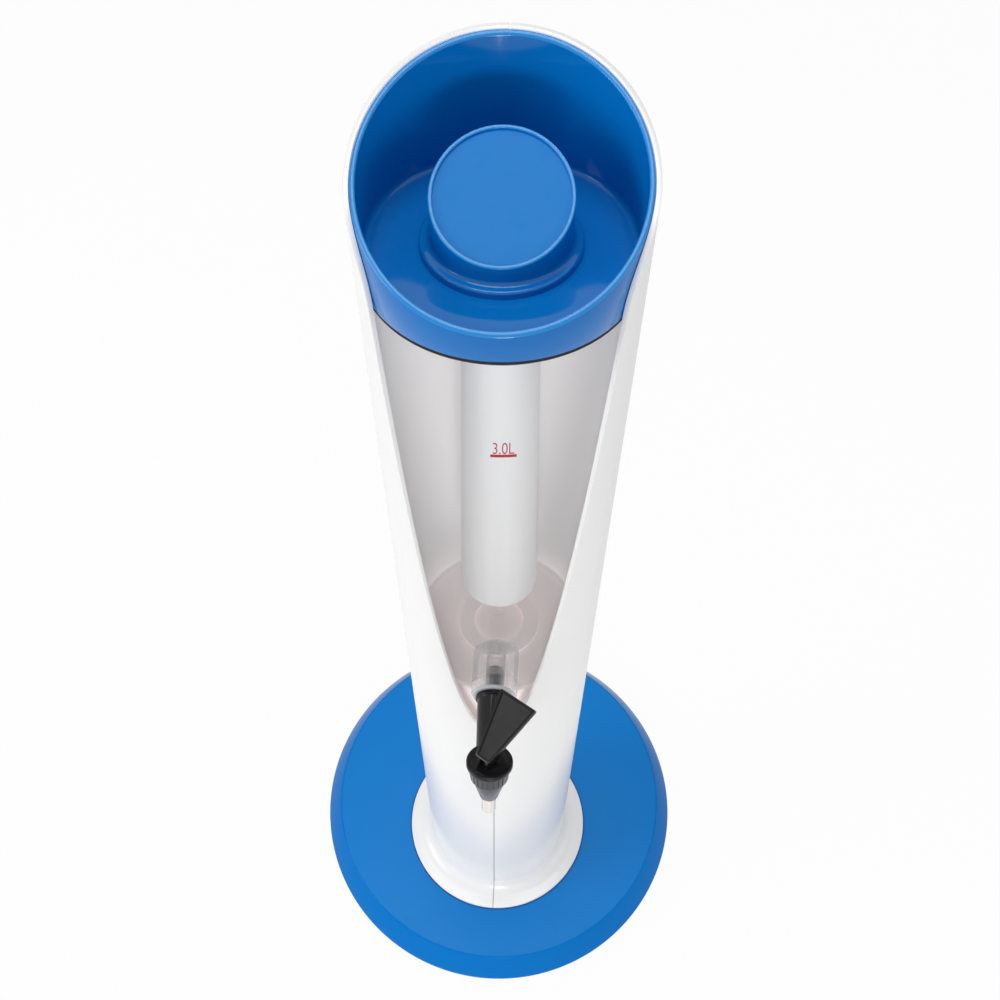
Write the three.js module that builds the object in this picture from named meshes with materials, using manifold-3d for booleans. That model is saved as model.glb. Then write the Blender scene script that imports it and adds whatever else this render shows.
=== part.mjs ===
// Beverage tower with a lever tap. Millimetres, +Z up, front towards -Y.
// The origin is on the table under the centre of the base disc. The tower itself
// stands forward of that centre, and its pieces are built round the tower's own axis.
import * as THREE from 'three';
import { mergeVertices } from 'three/addons/utils/BufferGeometryUtils.js';
import Module from 'manifold-3d';

const wasm = await Module();
wasm.setup();

// Clearances and cutters
const gap = 0.3;          // between neighbouring pieces
const overrun = 6;        // how far a cutter passes the face that it cuts
const seamGap = 0.5;      // between the casing halves

// Facets of the round pieces, in counts
const facets = { large: 48, medium: 36, small: 20, screw: 10 };

// Base disc
const footProud = 2;      // the feet stand this far below the disc
const baseRadius = 186;
const baseEdgeRun = 15;   // how far the sloped edge leans in
const baseHeight = 25.5;
const baseLip = 3;        // upright edge at the bottom
const baseRound = 1.5;    // eased edge at the top
const baseWall = 3;
const towerForward = 33.2; // tower axis in front of the disc's centre

// Bottom cover, its posts and the feet
const coverThickness = 2.5;
const coverRecess = 0.5;
const postRadius = 6;
const postInset = 36;     // posts stand this far inside the disc's edge
const postCount = 4;
const footRadius = 12;
const footTaper = 1.5;
const footInset = 21;
const footCount = 4;

// Screws
const screwRadius = 1.6;
const screwHeadRadius = 3.6;
const screwHeadHeight = 1.8;
const screwBite = 6;      // thread length in the piece that it holds
const screwClearance = 0.4;

// Casing
const shellRadius = 69;
const shellWall = 2.4;
const flangeReach = 22.3; // flange's edge outside the casing's wall
const flangeThickness = 3;
const flangeRound = 1;
const flareRadius = 14;
const flangeRise = 0.6;   // the flange's top climbs this much towards the flare
const shellScrewOffset = 1.8; // screw circle outside the casing's wall
const shellScrewCount = 4;

// Window in the casing, seen from the side
const windowTipDrop = 52.9; // tip of the window below the reservoir's floor
const windowRun = 27.3;   // how far the edge leans back over windowRise
const windowRise = 344;
const windowCornerRadius = 46;

// Slanted rim shared by the lid and the casing
const rimZ = 844.7;       // height of the rim's plane on the tower axis
const rimRise = 29.9;     // climb of the rim from the axis to the back of the lid

// Support column and seat pad
const columnFlangeMargin = 4.6; // column's flange to the casing
const columnFlangeReach = 12;
const columnWall = 3;
const columnFlangeHeight = 9;
const columnScrewInset = 5.5;
const columnScrewCount = 3;
const ledgeMargin = 3.6;  // ledge to the casing
const ledgeThickness = 4;
const ledgeConeHeight = 14;
const padInnerRadius = 18;
const padOuterRadius = 29;

// Reservoir
const floorZ = 464.3;     // inside floor
const skirtDepth = 62.3;  // skirt's lower edge below the floor
const floorThickness = 4;
const reservoirStep = 1.1; // top of the reservoir inside the lid's edge
const reservoirTaper = 4.3;
const reservoirWall = 3;
const floorRound = 3;
const floorNubRadius = 4.2;
const floorNubHeight = 2.5;

// Boss for the tap
const tapRise = 9.2;      // shank's axis above the floor
const bossRadius = 15.75;
const bossInner = 31;     // distance of the boss's inner end from the tower axis
const bossRecess = 2.9;   // face that the washer seals on, inside the casing's outer wall
const boreRadius = 6.6;

// Lid
const lidWall = 2.6;
const lidHeight = 45.2;   // lid's lower edge below the rim, on the axis
const lidDepth = 35.4;    // lid's floor below the rim, on the axis
const lidFloorThickness = 2.6;
const lidInnerRound = 3;
const collarDepth = 7;    // collar below the lid's bottom edge, inside the reservoir
const collarWall = 2.4;
const lidMouthRadius = 17.2;
const socketDepth = 13;   // ring that holds the ice tube, under the mouth
const socketWall = 2.4;
const gasketWidth = 3.4;
const gasketThickness = 2.2;

// Ice tube
const iceBottomRadius = 25.9;
const iceClearance = 54.1; // ice tube to the reservoir's floor
const iceWall = 2;
const iceRound = 6;
const iceNeckHeight = 15;
const iceSealThickness = 1.2;

// Knob
const knobRadius = 32.7;
const knobDrop = 9.2;     // slanted top below the rim, on the tower axis
const knobRise = 13.4;    // climb of that top from the axis to the back of the knob
const knobWall = 2.4;
const knobRimWidth = 1.7;
const knobRecess = 1.4;
const knobTopThickness = 2.4;
const knobFootReach = 5.3; // foot's edge outside the knob's side
const knobFootHeight = 3.6;
const knobFootRound = 1.4;
const knobPlugDepth = 12;
const knobPlugWall = 2.4;
const knobSealHeight = 3;
const knobSealDepth = 1.2;

// Tap: shank and barrel lie along Y, the outlet is tilted forward below
const washerRadius = 14.5;
const washerThickness = 2;
const threadLength = 19;
const threadRadius = 6.2;
const shankBoreRadius = 3.5;
const shankBoreClimb = 3; // the bore rises this much towards the valve chamber
const tapFlangeRadius = 12.5;
const tapFlangeThickness = 3;
const barrelRadius = 11.2;
const barrelEndRadius = 9.2;
const tapReach = 59.5;    // boss's face to the outlet's axis, along the shank
const outletTilt = THREE.MathUtils.degToRad(19);
const bonnetTop = 17;     // bonnet's top above the shank's axis, along the outlet
const bonnetRadius = 15.1;
const bonnetThickness = 3;
const bonnetRound = 0.8;
const bonnetPlugDepth = 3;
const hubRadius = 13.2;
const hubLowRadius = 12;
const hubHeight = 11;
const chamberRadius = 8.6;
const coneTopRadius = 11.4;
const coneBottomRadius = 6.1;
const coneLength = 18.5;
const coneWall = 1.4;
const coneSeatThickness = 2;
const coneSeatHole = 3.5;
const nozzleRadius = 4.6;
const nozzleBoreRadius = 3.6;
const nozzleLength = 17.5;
const nozzleInset = 4;    // length of the nozzle inside the cone

// Valve and lever
const seatCupRadius = 6;
const seatCupHeight = 4.2;
const stemRadius = 1.9;
const stemEyeRadius = 3.3;
const stemEyeThickness = 3.4;
const pinRadius = 1.4;
const camLow = 4.4;       // pin to cam surface, closed
const camLift = 2.5;      // how far the cam lifts the stem
const camClearance = 0.4; // cam to bonnet, closed
const leverSwing = THREE.MathUtils.degToRad(65);
const leverLean = THREE.MathUtils.degToRad(50);
const leverSwivel = THREE.MathUtils.degToRad(39);
const leverLength = 44;
const leverRootWidth = 11.6;
const leverTipWidth = 29.2;
const leverThickness = 3;
const leverTail = 4.2;    // length of the paddle below the pin
const leverStandoff = 6.7; // paddle's front face in front of the pin
const leverRimWidth = 1.9;
const leverRimDepth = 0.9;
const cheekThickness = 2.3;

// Heights and places that follow from the sizes above
const baseTopZ = footProud + baseHeight;
const baseTopRadius = baseRadius - baseEdgeRun;
const postCircle = baseRadius - postInset;
const footCircle = baseRadius - footInset;
const underTopZ = baseTopZ - baseWall;
const coverBottomZ = footProud + coverRecess;
const coverTopZ = coverBottomZ + coverThickness;
const shellInnerRadius = shellRadius - shellWall;
const flangeRadius = shellRadius + flangeReach;
const shellScrewCircle = shellRadius + shellScrewOffset;
const windowTipZ = floorZ - windowTipDrop;
const columnFlangeRadius = shellInnerRadius - columnFlangeMargin;
const columnRadius = columnFlangeRadius - columnFlangeReach;
const columnScrewCircle = columnFlangeRadius - columnScrewInset;
const ledgeRadius = shellInnerRadius - ledgeMargin;
const lidRadius = shellInnerRadius - gap;
const lidBottomZ = rimZ - lidHeight;
const lidFloorZ = rimZ - lidDepth;
const knobZ = rimZ - knobDrop;
const reservoirTopZ = lidBottomZ - gasketThickness;
const reservoirTopRadius = lidRadius - reservoirStep;
const reservoirSkirtRadius = reservoirTopRadius - reservoirTaper;
const skirtZ = floorZ - skirtDepth;
const tapZ = floorZ + tapRise;
const bossFace = shellRadius - bossRecess;
const outletReach = bossFace + tapReach;
const iceTopRadius = lidMouthRadius + iceWall;
const knobFootRadius = knobRadius + knobFootReach;
const iceBottomZ = floorZ + iceClearance;
const rimSlope = rimRise / lidRadius;
const knobSlope = knobRise / knobRadius;
const floorUnderZ = floorZ - floorThickness;
const bossBottomZ = tapZ - bossRadius;
const columnTopZ = bossBottomZ - gap;
const hubTop = bonnetTop - bonnetThickness;
const hubBottom = hubTop - hubHeight;
const seatTop = hubBottom - gap;
const washerFace = bossFace + washerThickness;
const pinHeight = camLow + camClearance;

// Finishes
const finish = (color, roughness, metalness = 0, opacity = 1) =>
  new THREE.MeshStandardMaterial({ color, roughness, metalness, opacity, transparent: opacity < 1 });
const blue = finish(0x2a7fd0, 0.28);
const white = finish(0xf4f4f4, 0.3);
const clear = finish(0xe6e2df, 0.06, 0, 0.3);
const smoky = finish(0x9a9aa0, 0.1, 0, 0.5);
const frosted = finish(0xe9edf0, 0.5);
const stone = finish(0xc3b6b2, 0.6);
const black = finish(0x1b1b1d, 0.25);
const rubber = finish(0x161616, 0.8);
const silicone = finish(0xe4e4e2, 0.5);
const steel = finish(0xb9bcc0, 0.3, 1);

// A closed triangle mesh as a solid for cutting and joining
function solid(geometry) {
  const bare = geometry.clone();
  bare.deleteAttribute('normal');
  bare.deleteAttribute('uv');
  const merged = mergeVertices(bare);
  const index = merged.index.array;
  const kept = [];
  for (let i = 0; i < index.length; i += 3) {
    const [a, b, c] = [index[i], index[i + 1], index[i + 2]];
    if (a !== b && b !== c && c !== a) kept.push(a, b, c);
  }
  return new wasm.Manifold(new wasm.Mesh({
    numProp: 3,
    vertProperties: new Float32Array(merged.attributes.position.array),
    triVerts: new Uint32Array(kept),
  }));
}

// The solid's triangles as a geometry again
function geometryOf(body) {
  const mesh = body.getMesh();
  const geometry = new THREE.BufferGeometry();
  geometry.setAttribute('position', new THREE.BufferAttribute(mesh.vertProperties, 3));
  geometry.setIndex(new THREE.BufferAttribute(mesh.triVerts, 1));
  geometry.computeVertexNormals();
  return geometry;
}

// A profile of [radius, height] points turned round Z
function turned(profile, count) {
  const points = profile.map(([r, z]) => new THREE.Vector2(r, z));
  return new THREE.LatheGeometry(points, count).rotateX(Math.PI / 2);
}

// A ring or disc between two radii and two heights
function ringProfile(inner, outer, low, high) {
  return [[inner, low], [outer, low], [outer, high], [inner, high], [inner, low]];
}

function turnedSolid(profile, count) {
  return solid(turned(profile, count));
}

function discSolid(radius, low, high, count) {
  return turnedSolid([[0, low], [radius, low], [radius, high], [0, high]], count);
}

// Points of a quarter-round or other arc, for a profile
function arc(cx, cz, radius, from, to, steps) {
  return Array.from({ length: steps + 1 }, (_, i) => {
    const a = from + (to - from) * i / steps;
    return [cx + radius * Math.cos(a), cz + radius * Math.sin(a)];
  });
}

// A flat outline in the YZ plane, given as [y, z] points, made into a slab across X
function sideSlab(outline, width) {
  const shape = new THREE.Shape(outline.map(([y, z]) => new THREE.Vector2(y, z)));
  const slab = new THREE.ExtrudeGeometry(shape, { depth: width, bevelEnabled: false });
  slab.translate(0, 0, -width / 2);
  const turn = new THREE.Matrix4().makeBasis(
    new THREE.Vector3(0, 1, 0), new THREE.Vector3(0, 0, 1), new THREE.Vector3(1, 0, 0));
  return slab.applyMatrix4(turn);
}

function boxSolid(min, max) {
  const size = max.map((value, i) => value - min[i]);
  const box = new THREE.BoxGeometry(...size);
  box.translate(...min.map((value, i) => value + size[i] / 2));
  return solid(box);
}

// Everything above a plane that climbs towards +Y, as far as reach
function aboveSlope(height, slope, reach) {
  const top = height + 2 * reach;
  return solid(sideSlab([
    [-reach, height - slope * reach], [reach, height + slope * reach], [reach, top], [-reach, top],
  ], 2 * reach));
}

// A turned solid laid along -Y, its profile heights being distances from the tower axis
function lyingSolid(profile, count) {
  const geometry = turned(profile, count);
  geometry.rotateX(Math.PI / 2);
  geometry.translate(0, 0, tapZ);
  return solid(geometry);
}

// The outlet's frame: its origin is on the shank's axis, its Z runs up through the bonnet
const outletMatrix = new THREE.Matrix4()
  .makeTranslation(0, -outletReach, tapZ)
  .multiply(new THREE.Matrix4().makeRotationX(-outletTilt));

function outletSolid(profile, count) {
  return solid(turned(profile, count).applyMatrix4(outletMatrix));
}

function named(name, geometry, material) {
  const mesh = new THREE.Mesh(geometry, material);
  mesh.name = name;
  return mesh;
}

// Points spread evenly round a circle
function around(count, radius, start = 0) {
  return Array.from({ length: count }, (_, i) => {
    const a = start + i * 2 * Math.PI / count;
    return [radius * Math.sin(a), -radius * Math.cos(a)];
  });
}

function postPlaces() {
  return around(postCount, postCircle, Math.PI / postCount);
}

function shellScrewPlaces() {
  const places = around(shellScrewCount, shellScrewCircle, Math.PI / shellScrewCount);
  return places.map(([x, y]) => [x, y - towerForward]);
}

function columnScrewPlaces() {
  return around(columnScrewCount, columnScrewCircle).map(([x, y]) => [x, y - towerForward]);
}

// Cylinders for screw holes at the given places
function holes(body, places, radius, low, high) {
  return places.reduce((rest, [x, y]) => {
    const drill = discSolid(radius, low, high, facets.screw).translate([x, y, 0]);
    return rest.subtract(drill);
  }, body);
}

function baseDisc() {
  const lipZ = footProud + baseLip;
  const slope = (baseRadius - baseTopRadius) / (baseTopZ - lipZ);
  const innerTop = baseTopRadius + slope * baseWall - baseWall;
  let body = turnedSolid([
    [0, underTopZ], [innerTop, underTopZ], [baseRadius - baseWall, lipZ], [baseRadius - baseWall, footProud],
    [baseRadius, footProud], [baseRadius, lipZ],
    [baseTopRadius + slope * baseRound, baseTopZ - baseRound],
    [baseTopRadius - baseRound, baseTopZ], [0, baseTopZ],
  ], facets.large);
  for (const [x, y] of postPlaces()) {
    const post = discSolid(postRadius, coverTopZ, underTopZ + baseWall / 2, facets.screw);
    body = body.add(post.translate([x, y, 0]));
  }
  body = holes(body, postPlaces(), screwRadius + screwClearance,
    coverTopZ - overrun, coverTopZ + screwBite + screwClearance);
  const through = [...shellScrewPlaces(), ...columnScrewPlaces()];
  body = holes(body, through, screwRadius + screwClearance, underTopZ - overrun, baseTopZ + overrun);
  return named('base_disc', geometryOf(body), blue);
}

function baseCover() {
  const radius = baseRadius - baseWall - 2 * gap;
  let body = discSolid(radius, coverBottomZ, coverTopZ, facets.large);
  body = holes(body, postPlaces(), screwRadius + screwClearance,
    coverBottomZ - overrun, coverTopZ + overrun);
  return named('base_cover', geometryOf(body), black);
}

function foot(name, x, y) {
  const mesh = named(name, turned([
    [0, 0], [footRadius - footTaper, 0], [footRadius, coverBottomZ], [0, coverBottomZ],
  ], facets.small), rubber);
  mesh.position.set(x, y, 0);
  return mesh;
}

// A pan-head screw whose head presses up on seatZ and whose shank ends at tipZ
function screw(name, x, y, seatZ, tipZ) {
  const mesh = named(name, turned([
    [0, seatZ - screwHeadHeight], [screwHeadRadius - screwHeadHeight / 2, seatZ - screwHeadHeight],
    [screwHeadRadius, seatZ], [screwRadius, seatZ], [screwRadius, tipZ], [0, tipZ],
  ], facets.screw), steel);
  mesh.position.set(x, y, 0);
  return mesh;
}

// The window's edge and the slanted top, as the outline of what is cut away
function windowOutline() {
  const lean = windowRun / windowRise;
  const tip = [-shellRadius, windowTipZ];
  const backY = shellRadius + overrun;
  const rimPointZ = (y) => rimZ + rimSlope * y;
  const cornerY = (rimZ - windowTipZ - shellRadius / lean) / (1 / lean - rimSlope);
  const corner = new THREE.Vector2(cornerY, rimPointZ(cornerY));
  const down = new THREE.Vector2(-lean, -1).normalize();
  const up = new THREE.Vector2(1, rimSlope).normalize();
  const half = down.angleTo(up) / 2;
  const along = windowCornerRadius / Math.tan(half);
  const start = corner.clone().addScaledVector(down, along);
  const end = corner.clone().addScaledVector(up, along);
  const bend = new THREE.QuadraticBezierCurve(start, corner, end).getPoints(8);
  const below = [tip[0] - overrun * lean, tip[1] - overrun];
  const topZ = rimPointZ(backY) + overrun;
  return [below, ...bend.map((p) => [p.x, p.y]), [backY, rimPointZ(backY)], [backY, topZ], [below[0], topZ]];
}

function shellHalves() {
  const flangeTop = baseTopZ + flangeThickness;
  const flareZ = flangeTop + flangeRise + flareRadius;
  const topZ = rimZ + rimRise + overrun;
  const flare = arc(shellRadius + flareRadius, flareZ, flareRadius, -Math.PI / 2, -Math.PI, 6);
  let body = turnedSolid([
    [shellInnerRadius, baseTopZ], [flangeRadius, baseTopZ],
    [flangeRadius, flangeTop - flangeRound], [flangeRadius - flangeRound, flangeTop],
    ...flare, [shellRadius, topZ], [shellInnerRadius, topZ], [shellInnerRadius, baseTopZ],
  ], facets.large);
  body = body.subtract(solid(sideSlab(windowOutline(), 2 * flangeRadius)));
  const places = shellScrewPlaces().map(([x, y]) => [x, y + towerForward]);
  body = holes(body, places, screwRadius + screwClearance,
    baseTopZ - overrun, baseTopZ + screwBite + screwClearance);
  const far = flangeRadius + overrun;
  return [['shell_left', -1], ['shell_right', 1]].map(([name, side]) => {
    const edge = side * seamGap / 2;
    const half = boxSolid(
      [Math.min(edge, side * far), -far, baseTopZ - overrun],
      [Math.max(edge, side * far), far, topZ + overrun]);
    return named(name, geometryOf(body.intersect(half)), white);
  });
}

function supportColumn() {
  const inner = columnRadius - columnWall;
  const flangeTop = baseTopZ + columnFlangeHeight;
  const ledgeZ = skirtZ - ledgeThickness;
  const coneZ = ledgeZ - ledgeConeHeight;
  const drum = reservoirSkirtRadius - reservoirWall - 2 * gap;
  let body = turnedSolid([
    [inner, baseTopZ], [columnFlangeRadius, baseTopZ], [columnFlangeRadius, flangeTop],
    [columnRadius, flangeTop], [columnRadius, coneZ], [ledgeRadius, ledgeZ], [ledgeRadius, skirtZ],
    [drum, skirtZ], [drum, columnTopZ], [0, columnTopZ], [0, columnTopZ - columnWall],
    [drum - columnWall, columnTopZ - columnWall], [drum - columnWall, ledgeZ], [inner, coneZ],
    [inner, baseTopZ],
  ], facets.medium);
  const places = columnScrewPlaces().map(([x, y]) => [x, y + towerForward]);
  body = holes(body, places, screwRadius + screwClearance,
    baseTopZ - overrun, baseTopZ + screwBite + screwClearance);
  return named('support_column', geometryOf(body), stone);
}

function seatPad() {
  return named('seat_pad',
    turned(ringProfile(padInnerRadius, padOuterRadius, columnTopZ, floorUnderZ), facets.medium), silicone);
}

// Outside radius of the tapered reservoir at a height
function reservoirRadius(z) {
  const share = (z - skirtZ) / (reservoirTopZ - skirtZ);
  return reservoirSkirtRadius + (reservoirTopRadius - reservoirSkirtRadius) * share;
}

function reservoir() {
  const inside = (z) => reservoirRadius(z) - reservoirWall;
  const floorEdge = arc(inside(floorZ) - floorRound, floorZ + floorRound, floorRound, 0, -Math.PI / 2, 3);
  let body = turnedSolid([
    [inside(skirtZ), skirtZ], [reservoirSkirtRadius, skirtZ], [reservoirTopRadius, reservoirTopZ],
    [inside(reservoirTopZ), reservoirTopZ], ...floorEdge,
    [floorNubRadius, floorZ], [0, floorZ + floorNubHeight], [0, floorUnderZ],
    [inside(floorUnderZ), floorUnderZ], [inside(skirtZ), skirtZ],
  ], facets.large);
  const lying = (radius, near, far) =>
    lyingSolid([[0, near], [radius, near], [radius, far], [0, far]], facets.small);
  body = body.add(lying(bossRadius, bossInner, bossFace));
  body = body.subtract(lying(boreRadius, bossInner - overrun, bossFace + overrun));
  return named('reservoir', geometryOf(body), clear);
}

// Inner and outer radius of the collar that centres the lid in the reservoir's mouth
function collarRadii() {
  const outer = reservoirRadius(reservoirTopZ) - reservoirWall - 2 * gap;
  return [outer - collarWall, outer];
}

function lid() {
  const inner = lidRadius - lidWall;
  const ledge = collarRadii()[1] + gap;
  const underZ = lidFloorZ - lidFloorThickness;
  const topZ = rimZ + rimRise + overrun;
  const corner = arc(inner - lidInnerRound, lidFloorZ + lidInnerRound, lidInnerRound, 0, -Math.PI / 2, 3);
  const body = turnedSolid([
    [lidMouthRadius, underZ], [ledge, underZ], [ledge, lidBottomZ], [lidRadius, lidBottomZ],
    [lidRadius, topZ], [inner, topZ], ...corner, [lidMouthRadius, lidFloorZ], [lidMouthRadius, underZ],
  ], facets.large);
  const cut = aboveSlope(rimZ, rimSlope, lidRadius + overrun);
  return named('lid', geometryOf(body.subtract(cut)), blue);
}

function lidCollar() {
  const [inner, outer] = collarRadii();
  const high = lidFloorZ - lidFloorThickness - gap;
  return named('lid_collar',
    turned(ringProfile(inner, outer, lidBottomZ - collarDepth, high), facets.large), blue);
}

// Ring under the lid's mouth that holds the ice tube
function iceSocket() {
  const inner = iceTopRadius + gap;
  const high = lidFloorZ - lidFloorThickness - gap;
  return named('ice_socket',
    turned(ringProfile(inner, inner + socketWall, high - socketDepth, high), facets.medium), blue);
}

function lidGasket() {
  const outer = lidRadius - gap;
  return named('lid_gasket',
    turned(ringProfile(outer - gasketWidth, outer, reservoirTopZ, lidBottomZ), facets.large), rubber);
}

function iceTube() {
  const topZ = lidFloorZ - lidFloorThickness - iceSealThickness;
  const neckZ = topZ - iceNeckHeight;
  const innerRound = iceRound - iceWall;
  const outerCorner = arc(iceBottomRadius - iceRound, iceBottomZ + iceRound, iceRound, -Math.PI / 2, 0, 4);
  const innerCorner = arc(iceBottomRadius - iceRound, iceBottomZ + iceRound, innerRound, 0, -Math.PI / 2, 3);
  return named('ice_tube', turned([
    [0, iceBottomZ], ...outerCorner, [iceTopRadius, neckZ], [iceTopRadius, topZ],
    [iceTopRadius - iceWall, topZ], [iceTopRadius - iceWall, neckZ], ...innerCorner,
    [0, iceBottomZ + iceWall],
  ], facets.medium), frosted);
}

function iceTubeSeal() {
  const high = lidFloorZ - lidFloorThickness;
  return named('ice_tube_seal',
    turned(ringProfile(lidMouthRadius, iceTopRadius, high - iceSealThickness, high), facets.medium), rubber);
}

function knob() {
  const bottomZ = lidFloorZ + knobFootHeight + gap;
  const topZ = knobZ + knobRise + overrun;
  const reach = knobRadius + overrun;
  const ceilingZ = knobZ - knobRecess - knobTopThickness;
  const body = discSolid(knobRadius, bottomZ, topZ, facets.medium)
    .subtract(aboveSlope(knobZ, knobSlope, reach));
  const sunk = discSolid(knobRadius - knobRimWidth, bottomZ, topZ, facets.medium)
    .intersect(aboveSlope(knobZ - knobRecess, knobSlope, reach));
  const hollow = discSolid(knobRadius - knobWall, bottomZ - overrun, topZ, facets.medium)
    .subtract(aboveSlope(ceilingZ, knobSlope, reach));
  return named('knob', geometryOf(body.subtract(sunk).subtract(hollow)), blue);
}

// Foot of the knob, with the plug that closes the lid's mouth
function knobBase() {
  const plug = lidMouthRadius - gap - knobSealDepth;
  const bore = plug - knobPlugWall;
  const plugZ = lidFloorZ - knobPlugDepth;
  const footTop = lidFloorZ + knobFootHeight;
  return named('knob_base', turned([
    [bore, plugZ], [plug, plugZ], [plug, lidFloorZ], [knobFootRadius, lidFloorZ],
    [knobFootRadius, footTop - knobFootRound], [knobFootRadius - knobFootRound, footTop],
    [bore, footTop], [bore, plugZ],
  ], facets.medium), blue);
}

function knobSeal() {
  const outer = lidMouthRadius - gap;
  const inner = outer - knobSealDepth + gap / 2;
  const high = lidFloorZ - gap;
  return named('knob_seal',
    turned(ringProfile(inner, outer, high - knobSealHeight, high), facets.medium), rubber);
}

function tapWasher() {
  const ring = ringProfile(threadRadius + gap, washerRadius, bossFace, washerFace);
  return named('tap_washer', geometryOf(lyingSolid(ring, facets.small)), silicone);
}

// The cone's outside, also used with a margin to clear the tap's body
function coneProfile(margin) {
  const bottom = seatTop - coneLength;
  return [
    [0, bottom], [coneBottomRadius + margin, bottom], [coneTopRadius + margin, seatTop + margin],
    [0, seatTop + margin],
  ];
}

function tapBody() {
  const threadEnd = bossFace - threadLength;
  const flangeEnd = washerFace + tapFlangeThickness;
  const shank = lyingSolid([
    [0, threadEnd], [threadRadius, threadEnd], [threadRadius, washerFace],
    [tapFlangeRadius, washerFace], [tapFlangeRadius, flangeEnd], [barrelRadius, flangeEnd],
    [barrelEndRadius, outletReach], [0, outletReach],
  ], facets.small);
  const hub = outletSolid([
    [0, hubBottom], [hubLowRadius, hubBottom], [hubRadius, hubTop - gap], [0, hubTop - gap],
  ], facets.small);
  let body = shank.add(hub);
  body = body.subtract(outletSolid(coneProfile(gap), facets.small));
  const chamber = [[0, seatTop - overrun], [chamberRadius, seatTop - overrun],
    [chamberRadius, bonnetTop + overrun], [0, bonnetTop + overrun]];
  body = body.subtract(outletSolid(chamber, facets.small));
  const above = [[0, hubTop - gap], [bonnetRadius + gap, hubTop - gap],
    [bonnetRadius + gap, bonnetTop + overrun], [0, bonnetTop + overrun]];
  body = body.subtract(outletSolid(above, facets.small));
  const climb = Math.atan2(shankBoreClimb, outletReach - threadEnd);
  const bore = turned([
    [0, -overrun], [shankBoreRadius, -overrun],
    [shankBoreRadius, outletReach - threadEnd], [0, outletReach - threadEnd],
  ], facets.small).rotateX(Math.PI / 2 - climb).translate(0, -threadEnd, tapZ);
  body = body.subtract(solid(bore));
  return named('tap_body', geometryOf(body), black);
}

// The pieces below are built in the outlet's frame

function tapBonnet() {
  const plug = chamberRadius - gap;
  const hole = stemRadius + gap;
  return named('tap_bonnet', turned([
    [hole, hubTop - bonnetPlugDepth], [plug, hubTop - bonnetPlugDepth], [plug, hubTop],
    [bonnetRadius, hubTop], [bonnetRadius, bonnetTop - bonnetRound],
    [bonnetRadius - bonnetRound, bonnetTop], [hole, bonnetTop], [hole, hubTop - bonnetPlugDepth],
  ], facets.medium), black);
}

function outletCone() {
  const bottom = seatTop - coneLength;
  const socketTop = bottom + nozzleInset;
  const socket = nozzleRadius + gap;
  return named('outlet_cone', turned([
    [coneSeatHole, seatTop], [coneSeatHole, seatTop - coneSeatThickness],
    [coneTopRadius - 2 * coneWall, seatTop - coneSeatThickness], [nozzleBoreRadius, socketTop],
    [socket, socketTop], [socket, bottom], [coneBottomRadius, bottom], [coneTopRadius, seatTop],
    [coneSeatHole, seatTop],
  ], facets.small), smoky);
}

function nozzle() {
  const high = seatTop - coneLength + nozzleInset - gap;
  const low = high - nozzleLength;
  return named('nozzle',
    turned(ringProfile(nozzleBoreRadius, nozzleRadius, low, high), facets.small), clear);
}

function seatCup() {
  const low = seatTop + gap;
  const high = low + seatCupHeight;
  return named('seat_cup', turned([
    [0, low], [seatCupRadius, low], [seatCupRadius, low + seatCupHeight / 2],
    [stemRadius + gap, high], [0, high],
  ], facets.small), silicone);
}

// Stem with a flat eye at its top, standing from the seat cup to the pin
function valveStem() {
  const low = seatTop + gap + seatCupHeight;
  const eyeZ = bonnetTop + pinHeight;
  const rod = discSolid(stemRadius, low, eyeZ, facets.screw);
  const across = (radius, width) => {
    const disc = new THREE.CylinderGeometry(radius, radius, width, facets.small).rotateZ(Math.PI / 2);
    return solid(disc.translate(0, 0, eyeZ));
  };
  const body = rod.add(across(stemEyeRadius, stemEyeThickness))
    .subtract(across(pinRadius + gap, stemEyeThickness + overrun));
  return named('valve_stem', geometryOf(body), steel);
}

function leverPin() {
  const width = stemEyeThickness + 2 * (cheekThickness + gap);
  const pin = new THREE.CylinderGeometry(pinRadius, pinRadius, width, facets.screw).rotateZ(Math.PI / 2);
  return named('lever_pin', pin, steel);
}

// The cheek's outline in the lever's own frame, [y, z] with the pin at the origin. The cam is
// the curve whose distance to a flat bonnet grows evenly as the lever swings.
function cheekOutline() {
  const rate = camLift / leverSwing;
  const steps = 6;
  const cam = Array.from({ length: steps + 1 }, (_, i) => {
    const turn = leverSwing * i / steps;
    const angle = leverLean - turn;
    const reach = camLow + rate * turn;
    return [
      reach * Math.sin(angle) - rate * Math.cos(angle),
      -reach * Math.cos(angle) - rate * Math.sin(angle),
    ];
  });
  const start = Math.PI / 2;
  const round = arc(0, 0, camLow, start, leverLean - start, 5);
  const inPlate = leverThickness / 2 - leverStandoff;
  return [[inPlate, camLow], ...round, ...cam, [inPlate, cam[steps][1]]];
}

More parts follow.
